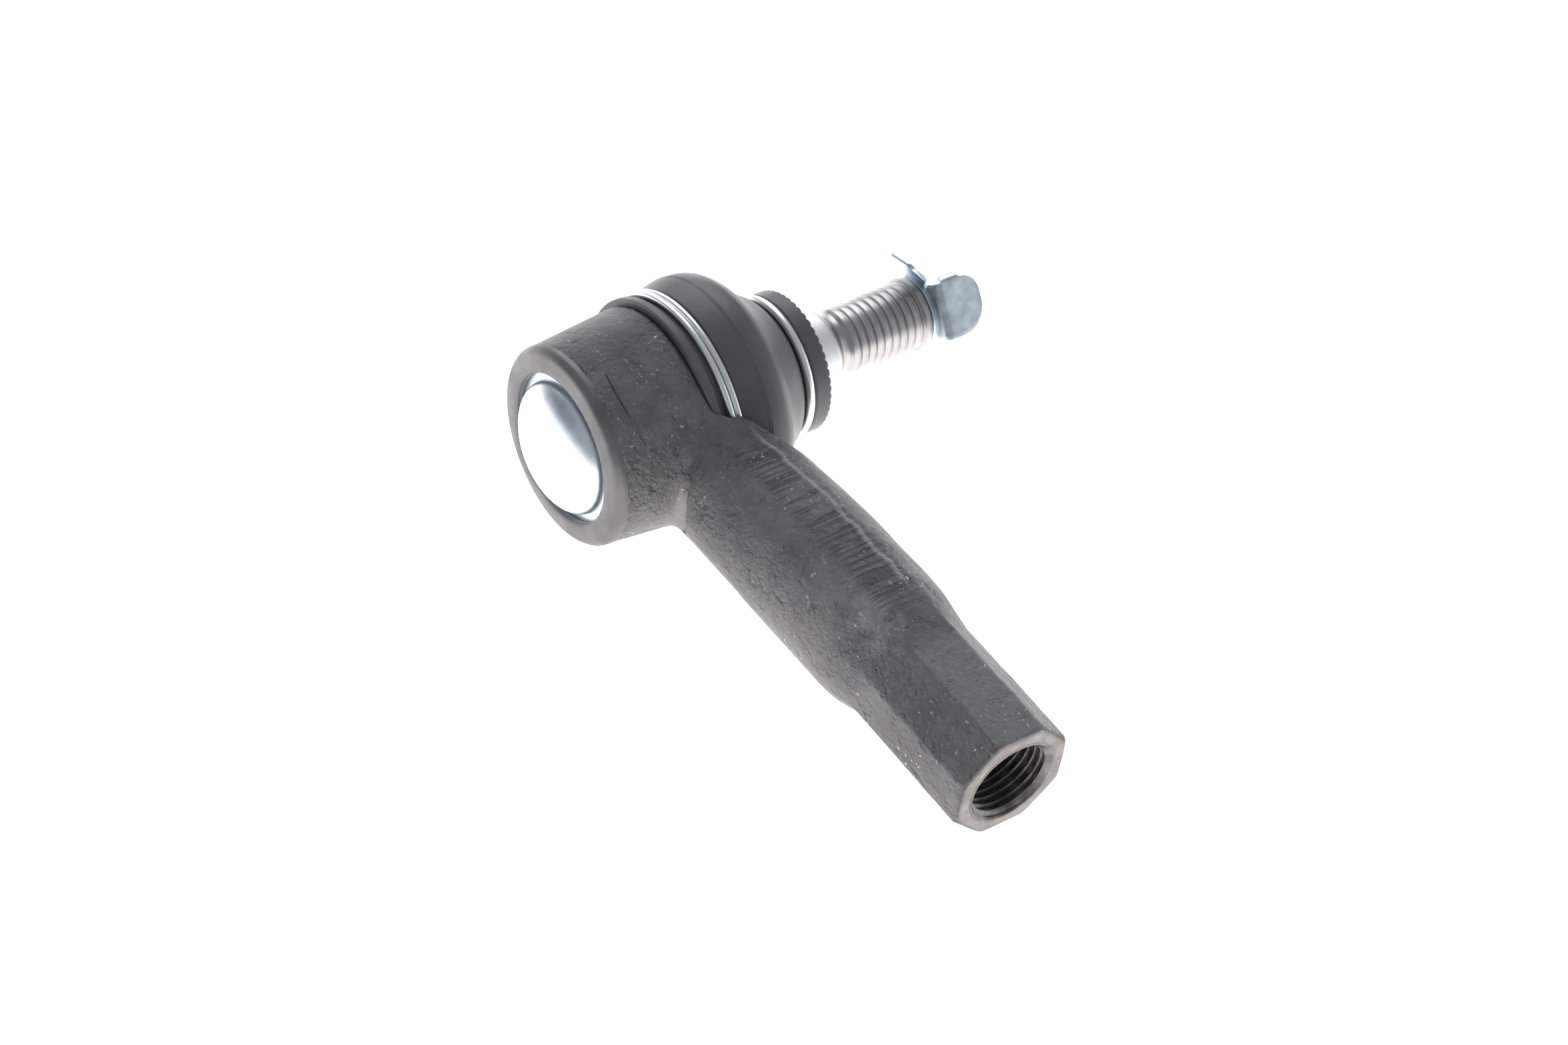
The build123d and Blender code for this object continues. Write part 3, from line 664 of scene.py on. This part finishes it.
class Nodes:
    """Short ways to add shader nodes to one material."""

    def __init__(self, name):
        self.material = bpy.data.materials.new(name)
        self.material.use_nodes = True
        self.tree = self.material.node_tree
        self.shader = self.tree.nodes["Principled BSDF"]
        self.coord = self.tree.nodes.new("ShaderNodeTexCoord").outputs["Object"]

    def add(self, kind, **inputs):
        node = self.tree.nodes.new(kind)
        for key, value in inputs.items():
            socket = node.inputs[key.replace("_", " ")]
            if hasattr(value, "links"):
                self.tree.links.new(value, socket)
            else:
                socket.default_value = value
        return node

    def noise(self, scale, detail=4.0, rough=0.55, stretch=None, vector=None):
        vector = vector or self.coord
        if stretch:
            m = self.add("ShaderNodeMapping", Vector=vector)
            m.inputs["Scale"].default_value = stretch
            vector = m.outputs[0]
        n = self.add("ShaderNodeTexNoise", Vector=vector, Scale=scale, Detail=detail, Roughness=rough)
        return n.outputs["Fac"]

    def ramp(self, fac, *stops):
        r = self.add("ShaderNodeValToRGB", Fac=fac)
        e = r.color_ramp.elements
        while len(e) < len(stops):
            e.new(0.5)
        for item, (place, value) in zip(e, stops):
            item.position = place
            item.color = value if isinstance(value, tuple) else (value, value, value, 1)
        return r.outputs["Color"]

    def math(self, op, a, b=0.0, clamp=False):
        n = self.tree.nodes.new("ShaderNodeMath")
        n.operation = op
        n.use_clamp = clamp
        for i, v in enumerate((a, b)):
            if hasattr(v, "links"):
                self.tree.links.new(v, n.inputs[i])
            else:
                n.inputs[i].default_value = v
        return n.outputs[0]

    def mix(self, fac, a, b):
        n = self.tree.nodes.new("ShaderNodeMix")
        n.data_type = "RGBA"
        for i, v in ((0, fac), (6, a), (7, b)):
            if hasattr(v, "links"):
                self.tree.links.new(v, n.inputs[i])
            else:
                n.inputs[i].default_value = v
        return n.outputs[2]

    def set(self, **values):
        names = {"color": "Base Color", "rough": "Roughness", "metal": "Metallic", "spec": "Specular IOR Level",
                 "normal": "Normal", "coat": "Coat Weight", "coat_rough": "Coat Roughness"}
        for key, value in values.items():
            socket = self.shader.inputs[names[key]]
            if hasattr(value, "links"):
                self.tree.links.new(value, socket)
            else:
                socket.default_value = value

    def bump(self, height, strength, distance, normal=None):
        b = self.add("ShaderNodeBump", Strength=strength, Distance=distance * MM, Height=height)
        if normal:
            self.tree.links.new(normal, b.inputs["Normal"])
        return b.outputs[0]

    def attribute(self, name):
        node = self.tree.nodes.new("ShaderNodeAttribute")
        node.attribute_name = name
        return node.outputs["Fac"]

    def position(self):
        s = self.add("ShaderNodeSeparateXYZ", Vector=self.coord)
        return s.outputs


def forging_material():
    m = Nodes("forging")
    x, y, z = m.position()
    broad = m.noise(55, 3)
    mid = m.noise(260, 5, 0.6)
    fine = m.noise(1500, 3, 0.6)
    grain = m.noise(820, 6, 0.65)
    base = m.ramp(m.math("ADD", m.math("MULTIPLY", broad, 0.6), m.math("MULTIPLY", mid, 0.4)),
                  (0.36, (0.112, 0.113, 0.118, 1)), (0.52, (0.162, 0.163, 0.168, 1)), (0.68, (0.225, 0.223, 0.222, 1)))
    # Painted reflection: the pocket's floor, turned towards the bright floor, is painted paler; it is also made
    # smoother, in the bumps below
    color = m.mix(m.math("MULTIPLY", m.attribute("pocket"), 0.5), base, (0.34, 0.335, 0.33, 1))
    # Worn bluish patch near the step down to the wrench flats
    dx = m.math("DIVIDE", m.math("SUBTRACT", x, 0.0685), 0.007)
    dy = m.math("DIVIDE", m.math("SUBTRACT", y, -0.001), 0.005)
    dz = m.math("DIVIDE", m.math("SUBTRACT", z, 0.0105), 0.006)
    flat = m.math("ADD", m.math("MULTIPLY", dx, dx), m.math("MULTIPLY", dy, dy))
    far = m.math("ADD", flat, m.math("MULTIPLY", dz, dz))
    blotches = m.math("SUBTRACT", m.math("MULTIPLY", mid, 3.4), 1.0, True)
    patch = m.math("MULTIPLY", m.math("SUBTRACT", 1.0, far, True), blotches, True)
    color = m.mix(m.math("MULTIPLY", patch, 0.8), color, (0.36, 0.40, 0.43, 1))
    # Dark torn lines across the trimmed land; and a painted highlight: the ridge along its far edge is painted light
    land = m.attribute("land")
    ridge = m.attribute("ridge")
    torn = m.ramp(m.noise(1500, 2, 0.6, stretch=(1.0, 0.04, 0.04)), (0.44, 1.0), (0.53, 0.0))
    tear = m.math("MULTIPLY", torn, land)
    color = m.mix(m.math("MULTIPLY", tear, 0.6), color, (0.06, 0.06, 0.063, 1))
    # Painted highlight along the ridge's crest
    color = m.mix(m.math("MULTIPLY", ridge, 0.7), color, (0.52, 0.52, 0.51, 1))
    # Painted light: the top facet of the wrench section, which faces the light, is painted paler
    above = m.ramp(m.math("MULTIPLY", z, 50.0), (0.540, 0.0), (0.548, 1.0))
    painted_lit_facet = m.math("MULTIPLY", above, m.ramp(x, (0.0735, 0.0), (0.076, 1.0)))
    color = m.mix(m.math("MULTIPLY", painted_lit_facet, 0.45), color, (0.36, 0.36, 0.37, 1))
    # Painted highlight: a fine light line along the edge where turning stopped; and a dark lap behind it
    edge = m.ramp(m.math("MULTIPLY", m.math("ADD", y, 0.01725), 1000.0), (0.0, 1.0), (0.55, 0.0))
    front = m.ramp(m.math("MULTIPLY", m.math("ADD", y, 0.0173), 10000.0), (0.0, 0.0), (0.2, 1.0))
    broken = m.ramp(m.noise(700, 3), (0.38, 0.0), (0.54, 1.0))
    edge = m.math("MULTIPLY", m.math("MULTIPLY", edge, front), broken)
    color = m.mix(edge, color, (0.60, 0.60, 0.59, 1))
    bend = m.math("MULTIPLY", m.math("MULTIPLY", m.math("SUBTRACT", x, 0.007), m.math("SUBTRACT", x, 0.007)), 25.0)
    off = m.math("ABSOLUTE", m.math("SUBTRACT", m.math("ADD", y, 0.0141), bend))
    lap = m.ramp(m.math("MULTIPLY", off, 1000.0), (0.06, 1.0), (0.20, 0.0))
    reach = m.ramp(m.math("MULTIPLY", x, 50.0), (0.14, 0.0), (0.20, 1.0), (0.52, 1.0), (0.60, 0.0))
    upper = m.ramp(m.math("MULTIPLY", z, 50.0), (0.50, 0.0), (0.54, 1.0))
    lap = m.math("MULTIPLY", m.math("MULTIPLY", lap, reach), upper)
    color = m.mix(m.math("MULTIPLY", lap, 0.8), color, (0.04, 0.04, 0.042, 1))
    # Pale specks and scuffs where scale has come off
    spots = m.noise(1250, 2, 0.5)
    cluster = m.ramp(m.noise(120, 3), (0.50, 0.12), (0.62, 1.0))
    speck = m.math("MULTIPLY", m.ramp(spots, (0.655, 0.0), (0.70, 1.0)), cluster)
    color = m.mix(m.math("MULTIPLY", speck, 0.85), color, (0.66, 0.66, 0.64, 1))
    scuffs = m.ramp(m.noise(620, 2, 0.4, stretch=(0.35, 1.0, 1.6)), (0.70, 0.0), (0.76, 1.0))
    color = m.mix(m.math("MULTIPLY", scuffs, 0.25), color, (0.45, 0.45, 0.45, 1))
    # Machined annular end face
    face = m.ramp(m.math("MULTIPLY", m.math("SUBTRACT", x, 0.1001), 2500.0), (0.0, 0.0), (1.0, 1.0))
    cut = m.ramp(mid, (0.40, (0.19, 0.175, 0.165, 1)), (0.60, (0.31, 0.29, 0.275, 1)))
    color = m.mix(m.math("MULTIPLY", face, 0.85), color, cut)
    both = m.math("ADD", m.math("MULTIPLY", mid, 0.5), m.math("MULTIPLY", grain, 0.5))
    rough = m.ramp(both, (0.35, 0.34), (0.68, 0.50))
    m.set(color=color, rough=rough, metal=0.5, spec=0.5)
    pits = m.ramp(m.noise(430, 3, 0.5), (0.30, 0.0), (0.44, 1.0))
    plain = m.math("SUBTRACT", 1.0, m.math("MAXIMUM", m.math("MULTIPLY", m.attribute("pocket"), 0.7), face))
    n1 = m.bump(m.math("MULTIPLY", grain, plain), 1.0, 0.85)
    n2 = m.bump(m.math("MULTIPLY", pits, plain), 0.7, 0.5, n1)
    n3 = m.bump(fine, 0.40, 0.16, n2)
    n4 = m.bump(m.math("MULTIPLY", m.math("ADD", tear, lap), -1.0), 0.8, 0.35, n3)
    m.set(normal=n4)
    return m.material


def turned_material():
    m = Nodes("turned_forging")
    x, y, z = m.position()
    broad = m.noise(90, 4)
    color = m.ramp(broad, (0.35, (0.13, 0.13, 0.133, 1)), (0.65, (0.20, 0.198, 0.198, 1)))
    r = m.math("SQRT", m.math("ADD", m.math("MULTIPLY", x, x), m.math("MULTIPLY", z, z)))
    rings = m.add("ShaderNodeCombineXYZ", X=r, Y=y, Z=0.0).outputs[0]
    lines = m.noise(3800, 2, 0.5, vector=rings)
    speck = m.ramp(m.noise(1400, 2, 0.5), (0.70, 0.0), (0.74, 1.0))
    color = m.mix(m.math("MULTIPLY", speck, 0.5), color, (0.3, 0.3, 0.3, 1))
    m.set(color=color, rough=m.ramp(m.noise(300, 4), (0.3, 0.38), (0.7, 0.52)), metal=0.6, spec=0.5)
    m.set(normal=m.bump(lines, 0.22, 0.10, m.bump(m.noise(900, 4), 0.2, 0.12)))
    return m.material


def thread_material():
    m = Nodes("thread_steel")
    color = m.ramp(m.noise(400, 4), (0.35, (0.09, 0.09, 0.09, 1)), (0.7, (0.22, 0.21, 0.20, 1)))
    m.set(color=color, rough=0.33, metal=0.6)
    m.set(normal=m.bump(m.noise(1600, 3), 0.25, 0.10))
    return m.material


def zinc_material(name, tint, rough_low, rough_high, blotch=140, depth=0.72):
    m = Nodes(name)
    dark = tuple(c * depth for c in tint) + (1,)
    light = tuple(tint) + (1,)
    color = m.ramp(m.noise(blotch, 5, 0.6), (0.32, dark), (0.68, light))
    scratch = m.ramp(m.noise(700, 3, 0.5, stretch=(1.0, 0.1, 0.6)), (0.62, 0.0), (0.72, 1.0))
    color = m.mix(m.math("MULTIPLY", scratch, 0.25), color, tuple(min(1, c * 1.5) for c in tint) + (1,))
    m.set(color=color, rough=m.ramp(m.noise(420, 5, 0.65), (0.3, rough_low), (0.7, rough_high)), metal=1.0)
    m.set(normal=m.bump(m.noise(900, 3), 0.12, 0.08))
    return m.material


def rubber_material():
    m = Nodes("boot_rubber")
    color = m.ramp(m.noise(70, 4), (0.3, (0.092, 0.093, 0.098, 1)), (0.7, (0.122, 0.123, 0.130, 1)))
    dust = m.ramp(m.noise(1300, 2, 0.5), (0.72, 0.0), (0.76, 1.0))
    color = m.mix(m.math("MULTIPLY", dust, 0.3), color, (0.16, 0.16, 0.16, 1))
    m.set(color=color, rough=m.ramp(m.noise(160, 4), (0.3, 0.36), (0.7, 0.46)), spec=0.5)
    m.set(normal=m.bump(m.noise(1500, 3, 0.6), 0.10, 0.10))
    return m.material


def steel_material():
    m = Nodes("stud_steel")
    x, y, z = m.position()
    r = m.math("SQRT", m.math("ADD", m.math("MULTIPLY", x, x), m.math("MULTIPLY", z, z)))
    rings = m.add("ShaderNodeCombineXYZ", X=m.math("MULTIPLY", r, 0.4), Y=y, Z=0.0).outputs[0]
    lines = m.noise(4200, 2, 0.6, vector=rings)
    color = m.ramp(m.noise(150, 4), (0.3, (0.38, 0.375, 0.38, 1)), (0.7, (0.52, 0.51, 0.505, 1)))
    ground = m.ramp(m.math("MULTIPLY", y, 20.0), (0.71, 1.0), (0.74, 0.0))
    color = m.mix(ground, color, (0.86, 0.87, 0.88, 1))
    polish = m.ramp(lines, (0.3, 0.28), (0.7, 0.40))
    m.set(color=color, rough=m.math("ADD", polish, m.math("MULTIPLY", ground, 0.25)), metal=1.0)
    m.set(normal=m.bump(lines, 0.18, 0.05, m.bump(m.noise(600, 4), 0.10, 0.10)))
    return m.material


def plastic_material():
    m = Nodes("seat_plastic")
    m.set(color=m.ramp(m.noise(120, 3), (0.3, (0.62, 0.60, 0.54, 1)), (0.7, (0.72, 0.70, 0.64, 1))), rough=0.42)
    m.set(normal=m.bump(m.noise(900, 3), 0.08, 0.08))
    return m.material


def assign(obj, material):
    obj.data.materials.clear()
    obj.data.materials.append(material)


# Build --------------------------------------------------------------------------------------------------------------

forging_look = forging_material()
turned_look = turned_material()
steel_look = steel_material()
cap_look = zinc_material("zinc_sheet", (0.84, 0.92, 0.97), 0.26, 0.36, 190, 0.86)
clip_look = zinc_material("zinc_clip", (0.68, 0.77, 0.83), 0.32, 0.46, 420, 0.68)
wire_look = zinc_material("zinc_wire", (0.88, 0.92, 0.92), 0.28, 0.36, 140, 0.9)
rubber_look = rubber_material()
plastic_look = plastic_material()
spring_look = zinc_material("spring_steel", (0.40, 0.40, 0.42), 0.24, 0.36)


def place(obj, body, look, slot, *nodes):
    assign(obj, look)
    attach(obj, body)
    if nodes:
        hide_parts(*nodes)


place(forging(), "housing", forging_look, "forging", "forged_body")
place(nose(), "housing", turned_look, "forging", "forged_body")
place(thread(), "housing", thread_material(), "forging", "forged_body")
place(cover(), "housing", cap_look, "zinc_sheet", "cover_plate")
place(stud(), "stud", steel_look, "stud_steel", "ball_stud")
big_wire, small_wire = wires()
place(big_wire, "housing", wire_look, "zinc_wire", "housing_wire_ring")
place(small_wire, "boot_end", wire_look, "zinc_wire", "stud_wire_ring")
for piece in clip():
    place(piece, "stud", clip_look, "zinc_sheet", "stud_clip")

wide, small = boot()
for piece in (wide, small):
    assign(piece, rubber_look)
    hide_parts("dust_boot")
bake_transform(wide)
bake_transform(small)

for node, look in (
    ("front_ball_seat", plastic_look), ("rear_ball_seat", plastic_look), ("preload_spring", spring_look),
    ("boot_insert_ring", plastic_look),
):
    assign(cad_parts[node], look)


# Camera, floor and light --------------------------------------------------------------------------------------------

CAMERA_AZIMUTH = 48.2
CAMERA_ELEVATION = 45.0
CAMERA_ROLL = 10.0
CAMERA_DISTANCE = 0.708
CAMERA_LENS = 91.84
AIM_RIGHT = 0.0235
AIM_UP = -0.0193
FLOOR_Z = -0.0221


def look_matrix(right, up, back, place):
    return Matrix((
        (right.x, up.x, back.x, place.x),
        (right.y, up.y, back.y, place.y),
        (right.z, up.z, back.z, place.z),
        (0, 0, 0, 1),
    ))


def make_camera():
    a = math.radians(CAMERA_AZIMUTH)
    e = math.radians(CAMERA_ELEVATION)
    back = Vector((math.sin(a) * math.cos(e), -math.cos(a) * math.cos(e), math.sin(e)))
    level = Vector((math.cos(a), math.sin(a), 0))
    level_up = back.cross(level)
    t = math.radians(CAMERA_ROLL)
    right = level * math.cos(t) + level_up * math.sin(t)
    up = level_up * math.cos(t) - level * math.sin(t)
    data = bpy.data.cameras.new("camera")
    data.sensor_width = 36.0
    data.lens = CAMERA_LENS
    data.clip_start = 0.01
    data.clip_end = 20.0
    cam = bpy.data.objects.new("camera", data)
    cam.matrix_world = look_matrix(right, up, back, right * AIM_RIGHT + up * AIM_UP + back * CAMERA_DISTANCE)
    bpy.context.scene.collection.objects.link(cam)
    bpy.context.scene.camera = cam


def area_light(name, place, aim, size, power, tint=(1, 1, 1)):
    data = bpy.data.lights.new(name, "AREA")
    data.shape = "DISK"
    data.size = size
    data.energy = power
    data.color = tint
    obj = bpy.data.objects.new(name, data)
    place, aim = Vector(place), Vector(aim)
    obj.location = place
    obj.rotation_euler = (place - aim).to_track_quat("Z", "Y").to_euler()
    bpy.context.scene.collection.objects.link(obj)


def make_floor():
    bpy.ops.mesh.primitive_plane_add(size=6.0, location=(0, 0, FLOOR_Z))
    floor = bpy.context.object
    floor.name = "floor"
    m = bpy.data.materials.new("floor")
    m.use_nodes = True
    shader = m.node_tree.nodes["Principled BSDF"]
    shader.inputs["Base Color"].default_value = (0.85, 0.85, 0.85, 1)
    shader.inputs["Roughness"].default_value = 0.8
    shader.inputs["Specular IOR Level"].default_value = 0.1
    tree = m.node_tree
    coord = tree.nodes.new("ShaderNodeTexCoord")
    far = tree.nodes.new("ShaderNodeVectorMath")
    far.operation = "LENGTH"
    tree.links.new(coord.outputs["Object"], far.inputs[0])
    ramp = tree.nodes.new("ShaderNodeValToRGB")
    e = ramp.color_ramp.elements
    e[0].position, e[0].color = 0.21, (1.0, 0.965, 0.94, 1)
    e[1].position, e[1].color = 0.62, (0.44, 0.44, 0.45, 1)
    tree.links.new(far.outputs["Value"], ramp.inputs[0])
    tree.links.new(ramp.outputs[0], shader.inputs["Emission Color"])
    shader.inputs["Emission Strength"].default_value = 1.6
    floor.data.materials.append(m)


def make_world():
    world = bpy.data.worlds.new("world")
    world.use_nodes = True
    tree = world.node_tree
    coord = tree.nodes.new("ShaderNodeTexCoord")
    split = tree.nodes.new("ShaderNodeSeparateXYZ")
    ramp = tree.nodes.new("ShaderNodeValToRGB")
    tree.links.new(coord.outputs["Generated"], split.inputs[0])
    tree.links.new(split.outputs["Z"], ramp.inputs[0])
    e = ramp.color_ramp.elements
    e[0].position, e[0].color = 0.0, (0.85, 0.85, 0.86, 1)
    e[1].position, e[1].color = 0.8, (0.36, 0.37, 0.40, 1)
    mid = e.new(0.26)
    mid.color = (0.30, 0.305, 0.325, 1)
    # A dim part of the studio, low on the left behind the camera
    dot = tree.nodes.new("ShaderNodeVectorMath")
    dot.operation = "DOT_PRODUCT"
    dot.inputs[1].default_value = (-0.54, -0.70, 0.46)
    tree.links.new(coord.outputs["Generated"], dot.inputs[0])
    dim = tree.nodes.new("ShaderNodeValToRGB")
    dim.color_ramp.elements[0].position, dim.color_ramp.elements[0].color = 0.72, (1, 1, 1, 1)
    dim.color_ramp.elements[1].position, dim.color_ramp.elements[1].color = 0.98, (0.62, 0.64, 0.68, 1)
    tree.links.new(dot.outputs["Value"], dim.inputs[0])
    product = tree.nodes.new("ShaderNodeVectorMath")
    product.operation = "MULTIPLY"
    tree.links.new(ramp.outputs[0], product.inputs[0])
    tree.links.new(dim.outputs[0], product.inputs[1])
    back = tree.nodes["Background"]
    tree.links.new(product.outputs[0], back.inputs[0])
    back.inputs[1].default_value = 1.0
    bpy.context.scene.world = world


make_camera()
make_floor()
make_world()
bpy.context.scene.view_settings.view_transform = "Standard"
area_light("key", (-0.68, 0.30, 0.58), (0.03, 0, 0), 0.9, 4.2)
area_light("rim", (0.42, 0.62, 0.24), (0.03, 0.01, 0), 0.5, 0.35)
